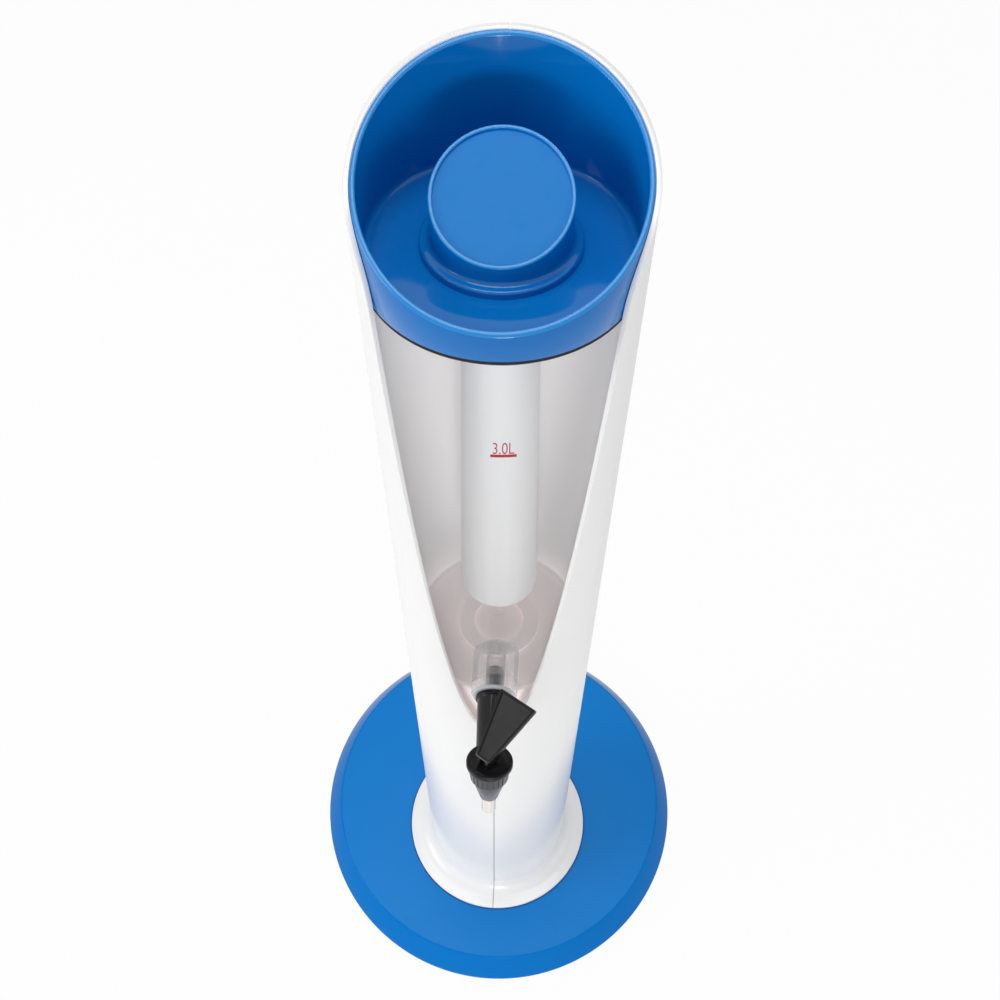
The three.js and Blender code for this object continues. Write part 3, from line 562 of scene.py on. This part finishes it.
def makeRing(ring, name, finish, slotName, node, ease=0.5):
    bm = ringShape([(ring["inner"], ring["low"]), (ring["outer"], ring["low"]),
                    (ring["outer"], ring["high"]), (ring["inner"], ring["high"])], turns=192)
    roundRings(bm, [(ring[side], ring[end]) for side in ("inner", "outer") for end in ("low", "high")], ease)
    finishPiece(bm, name, finish, "lid", slotName, [node])


makeRing(collar, "lidCollar", "blueGloss", "blue_plastic", "lid_collar")
makeRing(socket, "iceSocket", "blueGloss", "blue_plastic", "ice_socket")

gasket = {"inner": 62.6, "outer": 66, "low": 797.3, "high": 799.5}

makeRing(gasket, "lidGasket", "rubber", "black_rubber", "lid_gasket")


# The tube that holds ice.
iceTube = {"neck": 19.2, "neckLow": 790.5, "top": 805.5, "bottom": (25.9, 518.4), "wall": 2, "round": 6}


def makeIceTube():
    t = iceTube
    low, wall = t["bottom"], t["wall"]
    bm = ringShape([
        (0, low[1]), low, (t["neck"], t["neckLow"]), (t["neck"], t["top"]), (t["neck"] - wall, t["top"]),
        (t["neck"] - wall, t["neckLow"]), (low[0] - wall, low[1] + wall), (0, low[1] + wall),
    ], turns=160, closed=False)
    roundRings(bm, [low], t["round"], steps=8)
    roundRings(bm, [(low[0] - wall, low[1] + wall)], t["round"] - wall, steps=6)
    finishPiece(bm, "iceTube", "frosted", "lid", "frosted_plastic", ["ice_tube"])


makeIceTube()


# The stopper in the lid.
knob = {"radius": 32.7, "foot": 38, "floor": 809.3, "footTop": 812.9, "top": 835.5, "slope": 13.4 / 32.7,
        "plug": (15.7, 13.3, 797.3), "hollow": 30.3, "ceiling": 816, "rimWidth": 1.9, "rimRound": 0.55,
        "sunk": 1.4, "flare": 2.6, "footRound": 1.5, "blank": 865, "flat": 0.999, "topAbove": 830,
        "crease": 0.5}


def makeKnob():
    k = knob
    bm = ringShape([
        (0, k["ceiling"]), (k["plug"][1], k["ceiling"]), (k["plug"][1], k["plug"][2]),
        (k["plug"][0], k["plug"][2]), (k["plug"][0], k["ceiling"]), (k["hollow"], k["ceiling"]),
        (k["hollow"], k["floor"]), (k["foot"], k["floor"]), (k["foot"], k["footTop"]),
        (k["radius"], k["footTop"]), (k["radius"], k["blank"]),
    ], turns=192, closed=False)
    roundRings(bm, [(k["radius"], k["footTop"])], k["flare"], steps=6)
    roundRings(bm, [(k["foot"], k["footTop"])], k["footRound"], steps=5)
    point, away = (0, 0, k["top"]), Vector((0, -k["slope"], 1)).normalized()
    cutOff(bm, point, away)
    bmesh.ops.holes_fill(bm, edges=[e for e in onPlane(bm, point, away) if e.is_boundary], sides=0)
    bmesh.ops.recalc_face_normals(bm, faces=bm.faces)
    top = [f for f in bm.faces
           if f.normal.dot(away) > k["flat"] and f.calc_center_median().z > k["topAbove"] / 1000]
    bmesh.ops.inset_region(bm, faces=top, thickness=k["rimWidth"] / 1000, use_even_offset=True)
    for one in extrudeBy(bm, top, away * -k["sunk"]):
        one.material_index = 1
    bmesh.ops.delete(bm, geom=top, context="FACES_ONLY")
    roundEdges(bm, [e for e in onPlane(bm, point, away) if len(e.link_faces) == 2
                    and e.calc_face_angle(0) > k["crease"]], k["rimRound"], steps=4)
    rim = Vector(point) / 1000
    # the top's rounded rim gets the lighter blue of the painted highlight
    paintFaces(bm, 2, lambda f: abs((f.calc_center_median() - rim).dot(away)) < k["rimRound"] / 1000)
    finishPiece(bm, "stopper", ["blueGloss", "blueGrained", "blueRimPaintedHighlight"], "knob", "blue_plastic",
                ["knob", "knob_base"])


makeKnob()
print("lid, tube and stopper made")


# The tap: body, washer, cap and outlet.
tap = {"threadStart": 47.1, "thread": 6.2, "threadRoot": 5.5, "pitch": 1.5, "bore": 3.5, "flangeStart": 68.1,
       "flangeEnd": 71.1, "flange": 12.5, "barrel": 11.2, "barrelEnd": 9.2,
       "hubLow": (12, 3), "hubTop": (13.2, 13.7), "hubBand": (11.7, 14), "ribs": 24, "ribDepth": 0.45,
       "washer": (6.5, 14.5, 66.1, 68.1),
       "bonnet": 15.1, "bonnetLow": 14, "bonnetTop": 17, "bonnetRound": 0.8, "bonnetHole": 2.2,
       "cone": ((11.4, 2.7), (6.1, -15.8)), "coneHole": 3.5, "coneWall": 1.4,
       "nozzle": (4.6, 3.6, -29.6, -12.1),
       "threadLead": 1, "boreDepth": 14, "flangeRound": 0.6, "barrelRound": 0.8,
       "ribSteps": 5, "ribInset": 0.1, "bandTilt": 0.5,
       "roomGap": 0.3, "roomRise": 0.25, "roomDrop": 5, "capRoom": (20, 6), "washerRound": 0.5,
       "bonnetEase": 0.3, "coneTop": 2, "nozzleSocket": 4, "nozzleGap": 0.3, "coneRound": 0.4,
       "nozzleRound": 0.3}


def makeTapBody():
    t = tap
    thread = []
    start = t["threadStart"] + t["threadLead"]
    for i in range(int((t["flangeStart"] - start) / t["pitch"])):
        z = start + i * t["pitch"]
        thread += [(t["threadRoot"], z), (t["thread"], z + t["pitch"] / 2)]
    boreEnd = t["threadStart"] + t["boreDepth"]
    shank = ringShape([
        (0, boreEnd), (t["bore"], boreEnd), (t["bore"], t["threadStart"]),
        (t["threadRoot"], t["threadStart"]), *thread, (t["threadRoot"], t["flangeStart"]),
        (t["flange"], t["flangeStart"]), (t["flange"], t["flangeEnd"]), (t["barrel"], t["flangeEnd"]),
        (t["barrelEnd"], tower["outletReach"]), (0, tower["outletReach"]),
    ], turns=96, closed=False)
    roundRings(shank, [(t["flange"], t["flangeStart"]), (t["flange"], t["flangeEnd"])], t["flangeRound"])
    roundRings(shank, [(t["barrel"], t["flangeEnd"])], t["barrelRound"])
    shank.transform(shankPlace)
    hub = ringShape([(0, t["hubLow"][1]), t["hubLow"], t["hubTop"], (0, t["hubTop"][1])],
                    turns=t["ribSteps"] * t["ribs"], closed=False)
    band = [f for f in hub.faces if abs(f.normal.z) < t["bandTilt"]]
    band.sort(key=lambda f: math.atan2(f.calc_center_median().y, f.calc_center_median().x))
    ribs = [f for i, f in enumerate(band) if i % t["ribSteps"] < t["ribSteps"] - 1]
    bmesh.ops.inset_region(hub, faces=ribs, thickness=t["ribInset"] / 1000,
                           depth=t["ribDepth"] / 1000, use_even_offset=True)
    hub.transform(outletPlace)
    (r1, z1), (r2, z2) = t["cone"]
    gap, high, low = t["roomGap"], z1 + t["roomRise"], z2 - t["roomDrop"]
    room = ringShape([(0, low), (r2 + gap, low), (r2 + gap, z2), (r1 + gap, high), (0, high)],
                     turns=96, closed=False)
    room.transform(outletPlace)
    wide, high, low = t["capRoom"][0], t["bonnetTop"] + t["capRoom"][1], t["hubTop"][1]
    over = ringShape([(0, low), (wide, low), (wide, high), (0, high)], turns=64, closed=False)
    over.transform(outletPlace)
    bm = combine(combine(combine(shank, hub, "UNION"), room, "DIFFERENCE"), over, "DIFFERENCE")
    inner, outer = (r / 1000 for r in t["hubBand"])
    lying, upright = shankPlace.inverted(), outletPlace.inverted()
    paintFaces(bm, 1, lambda f: all(inner < (upright @ v.co).xy.length < outer for v in f.verts)
               and (lying @ f.calc_center_median()).xy.length > inner)
    finishPiece(bm, "tapBody", ["blackGloss", "blackSmoke"], "tower", "black_plastic", ["tap_body"],
                Matrix.Identity(4))


makeTapBody()


def makeWasher():
    inner, outer, low, high = tap["washer"]
    bm = ringShape([(inner, low), (outer, low), (outer, high), (inner, high)], turns=96)
    roundRings(bm, [(outer, low), (outer, high)], tap["washerRound"])
    finishPiece(bm, "tapWasher", "silicone", "tower", "silicone", ["tap_washer"], shankPlace)


makeWasher()


def makeBonnet():
    t = tap
    bm = ringShape([(t["bonnetHole"], t["bonnetLow"]), (t["bonnet"], t["bonnetLow"]),
                    (t["bonnet"], t["bonnetTop"]), (t["bonnetHole"], t["bonnetTop"])], turns=128)
    roundRings(bm, [(t["bonnet"], t["bonnetTop"])], t["bonnetRound"], steps=4)
    eased = [(t["bonnet"], t["bonnetLow"]), (t["bonnetHole"], t["bonnetTop"])]
    roundRings(bm, eased, t["bonnetEase"], steps=2)
    finishPiece(bm, "tapBonnet", "blackGloss", "bonnet", "black_plastic", ["tap_bonnet"], outletPlace)


makeBonnet()


def makeOutlet():
    t = tap
    (r1, z1), (r2, z2) = t["cone"]
    outer, inner, low, high = t["nozzle"]
    under, seat = z1 - t["coneTop"], z2 + t["nozzleSocket"]
    bm = ringShape([
        (t["coneHole"], z1), (t["coneHole"], under), (r1 - 2 * t["coneWall"], under), (inner, seat),
        (outer + t["nozzleGap"], seat), (outer + t["nozzleGap"], z2), (r2, z2), (r1, z1),
    ], turns=96)
    roundRings(bm, [(r1, z1), (r2, z2)], t["coneRound"])
    finishPiece(bm, "outletCone", "smokyCone", "tower", "smoky_plastic", ["outlet_cone"], outletPlace)
    bm = ringShape([(inner, low), (outer, low), (outer, high), (inner, high)], turns=64)
    roundRings(bm, [(outer, low), (inner, low)], t["nozzleRound"], steps=2)
    finishPiece(bm, "nozzleTube", "clearTube", "tower", "clear_plastic", ["nozzle"], outletPlace)


makeOutlet()


# The lever that opens the tap.
lever = {"length": 44, "root": 11.6, "tip": 29.2, "thick": 3, "tail": 4.2, "standoff": 6.7,
         "rim": 1.9, "rimDepth": 0.9, "cheek": 2.3, "cheekInner": 2.0, "camLow": 4.4, "camLift": 2.5,
         "swing": 65, "lean": 50, "cornerRound": 1.6, "edgeRound": 0.42,
         "overlap": 1, "heelSteps": 6, "camSteps": 9, "crease": 0.9}


def makeLever():
    v = lever
    low, high = -v["tail"], v["length"] - v["tail"]
    front, back = -v["standoff"], v["thick"] - v["standoff"]
    bm = bmesh.new()
    corners = [(-v["root"] / 2, low), (v["root"] / 2, low), (v["tip"] / 2, high), (-v["tip"] / 2, high)]
    bm.faces.new([bm.verts.new((x / 1000, front / 1000, z / 1000)) for x, z in corners])
    bmesh.ops.bevel(bm, geom=bm.verts[:], offset=v["cornerRound"] / 1000, offset_type="OFFSET", segments=4,
                    profile=0.5, affect="VERTICES", material=-1)
    face = bm.faces[:][0]
    extrudeBy(bm, [face], (0, back - front, 0))
    bmesh.ops.recalc_face_normals(bm, faces=bm.faces)
    bmesh.ops.inset_region(bm, faces=[face], thickness=v["rim"] / 1000, use_even_offset=True)
    for one in extrudeBy(bm, [face], (0, v["rimDepth"], 0)):
        one.material_index = 1
    bmesh.ops.delete(bm, geom=[face], context="FACES_ONLY")
    roundEdges(bm, [e for e in bm.edges if len(e.link_faces) == 2 and e.calc_face_angle(0) > v["crease"]],
               v["edgeRound"])

    rate = v["camLift"] / math.radians(v["swing"])
    # the cheeks' outline: a round heel, then the cam that pushes the stem up evenly
    outline = [(back - v["overlap"], v["camLow"])]
    for i in range(v["heelSteps"] + 1):
        a = math.pi / 2 + (math.radians(v["lean"]) - math.pi) * i / v["heelSteps"]
        outline.append((v["camLow"] * math.cos(a), v["camLow"] * math.sin(a)))
    for i in range(1, v["camSteps"] + 1):
        turn = math.radians(v["swing"]) * i / v["camSteps"]
        angle, reach = math.radians(v["lean"]) - turn, v["camLow"] + rate * turn
        outline.append((reach * math.sin(angle) - rate * math.cos(angle),
                        -reach * math.cos(angle) - rate * math.sin(angle)))
    outline.append((back - v["overlap"], outline[-1][1]))
    for x in (-(v["cheekInner"] + v["cheek"]), v["cheekInner"]):
        face = bm.faces.new([bm.verts.new((x / 1000, y / 1000, z / 1000)) for y, z in outline])
        extrudeBy(bm, [face], (v["cheek"], 0, 0))
    bmesh.ops.recalc_face_normals(bm, faces=bm.faces)
    finishPiece(bm, "tapLever", ["blackGloss", "blackSatin"], "lever", "black_plastic", ["tap_lever"],
                leverPlace)


makeLever()
print("tap made")


# Small pieces keep their mesh from the model and only get a finish.
# the seat pad shares the column's finish, painted glow included
kept = {"base_cover": "blackSatin", "seat_pad": "stone", "ice_tube_seal": "rubber", "knob_seal": "rubber",
        "seat_cup": "silicone", "valve_stem": "steel", "lever_pin": "steel"}
kept.update({f"foot_{i}": "rubber" for i in range(1, 5)})
kept.update({name: "steel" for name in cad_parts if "screw" in name})
for name, finish in kept.items():
    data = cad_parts[name].data
    data.materials.clear()
    data.materials.append(finishes[finish])


# Floor, backdrop and lamps.
studio = {"floor": 3.0, "floorShare": 0.95, "world": 0.4, "aim": 0.45,
          "lamps": [("keyLamp", (-1.9, -0.5, 1.3), 1.2, 17), ("sideLamp", (1.9, -0.5, 1.1), 1.4, 4.5),
                    ("frontLamp", (0.15, -1.9, 0.42), 0.5, 10.5), ("topLamp", (-0.15, 0.3, 4.5), 2.2, 62)]}


def whiteForCamera(tree, shader, share):
    # adds the white backdrop to what the camera sees, straight on, mirrored or through clear parts
    path = tree.nodes.new("ShaderNodeLightPath")
    seen = path.outputs["Is Camera Ray"]
    for name in ("Is Glossy Ray", "Is Transmission Ray"):
        add = tree.nodes.new("ShaderNodeMath")
        add.operation = "MAXIMUM"
        tree.links.new(seen, add.inputs[0])
        tree.links.new(path.outputs[name], add.inputs[1])
        seen = add.outputs[0]
    times = tree.nodes.new("ShaderNodeMath")
    times.operation = "MULTIPLY"
    times.inputs[1].default_value = share
    tree.links.new(seen, times.inputs[0])
    white = tree.nodes.new("ShaderNodeEmission" if share < 1 else "ShaderNodeBackground")
    white.inputs["Strength"].default_value = 1
    white.inputs["Color"].default_value = (1, 1, 1, 1)
    mix = tree.nodes.new("ShaderNodeMixShader")
    tree.links.new(times.outputs[0], mix.inputs[0])
    tree.links.new(shader, mix.inputs[1])
    tree.links.new(white.outputs[0], mix.inputs[2])
    return mix.outputs[0]


def makeStudio():
    s = studio
    bm = bmesh.new()
    bmesh.ops.create_grid(bm, x_segments=1, y_segments=1, size=s["floor"])
    floor = objectFrom(bm, "floor")
    finish = Finish("paleFloor", {"Base Color": (0.8, 0.8, 0.8, 1), "Roughness": 0.9})
    out = finish.tree.nodes["Material Output"].inputs["Surface"]
    finish.tree.links.new(whiteForCamera(finish.tree, finish.surface.outputs[0], s["floorShare"]), out)
    floor.data.materials.append(finish.material)

    world = bpy.data.worlds.new("studioWorld")
    world.use_nodes = True
    bpy.context.scene.world = world
    sky = world.node_tree.nodes["Background"]
    sky.inputs["Strength"].default_value = s["world"]
    sky.inputs["Color"].default_value = (1, 1, 1, 1)
    out = world.node_tree.nodes["World Output"].inputs["Surface"]
    world.node_tree.links.new(whiteForCamera(world.node_tree, sky.outputs[0], 1), out)

    for name, place, size, power in s["lamps"]:
        data = bpy.data.lights.new(name, "AREA")
        data.shape, data.size, data.energy = "DISK", size, power
        lamp = bpy.data.objects.new(name, data)
        lamp.location = place
        lamp.rotation_euler = (Vector((0, 0, s["aim"])) - Vector(place)).to_track_quat("-Z", "Y").to_euler()
        bpy.context.scene.collection.objects.link(lamp)
    bpy.context.scene.view_settings.view_transform = "Standard"


makeStudio()
print("studio made")
